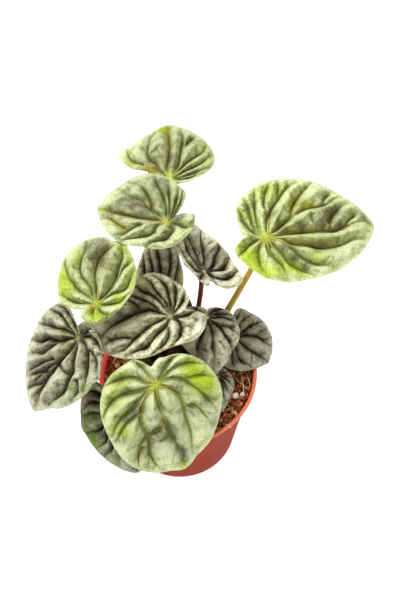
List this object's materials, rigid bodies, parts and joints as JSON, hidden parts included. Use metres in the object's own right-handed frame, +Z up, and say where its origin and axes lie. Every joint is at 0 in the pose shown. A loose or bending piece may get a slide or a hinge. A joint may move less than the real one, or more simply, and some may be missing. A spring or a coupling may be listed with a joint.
{
  "type": "potted peperomia",
  "caption": "Ripple-leaved peperomia house plant: heart-shaped, deeply veined leaves on fleshy stalks rising from a crown in a round tapered plastic nursery pot filled with soil.",
  "frame": {"origin": "centre of the pot's base, on the surface the pot stands on", "axes": "+Z up along the pot's axis, -Y towards the side the plant is seen from, +X to the right as seen from there"},
  "size_m": [0.2232, 0.2155, 0.1791],
  "materials": {
    "pot_plastic": "satin terracotta-coloured plastic",
    "soil": "coarse brown coir and bark, matt",
    "perlite": "matt off-white grains",
    "crown": "dull brown-green fleshy stem",
    "leaf_light": "satin, light green with lime margins and grey-green ridges",
    "leaf_dark": "satin, dark grey-green with silvery ridges",
    "stalk_green": "satin yellow-olive",
    "stalk_red": "satin dark red-brown"
  },
  "bodies": {
    "root": {"pot": "pot_plastic", "soil": "soil", "crown": "crown", "perlite_1": "perlite", "perlite_2": "perlite", "perlite_3": "perlite", "perlite_4": "perlite", "perlite_5": "perlite", "leaf_front": "leaf_light", "leaf_right": "leaf_light", "leaf_upper": "leaf_light", "leaf_top": "leaf_light", "leaf_left_high": "leaf_light", "leaf_left_low": "leaf_dark", "leaf_centre": "leaf_dark", "leaf_low_mid": "leaf_dark", "leaf_low_right": "leaf_dark", "leaf_back_right": "leaf_dark", "leaf_back_upright": "leaf_dark", "leaf_front_left": "leaf_dark", "leaf_low_front": "leaf_dark", "leaf_young": "leaf_dark", "stalk_front": "stalk_green", "stalk_right": "stalk_green", "stalk_upper": "stalk_green", "stalk_top": "stalk_green", "stalk_left_high": "stalk_green", "stalk_left_low": "stalk_green", "stalk_centre": "stalk_red", "stalk_low_mid": "stalk_red", "stalk_low_right": "stalk_red", "stalk_back_right": "stalk_red", "stalk_back_upright": "stalk_red", "stalk_front_left": "stalk_green", "stalk_low_front": "stalk_red", "stalk_young": "stalk_red"}
  },
  "joints": []
}
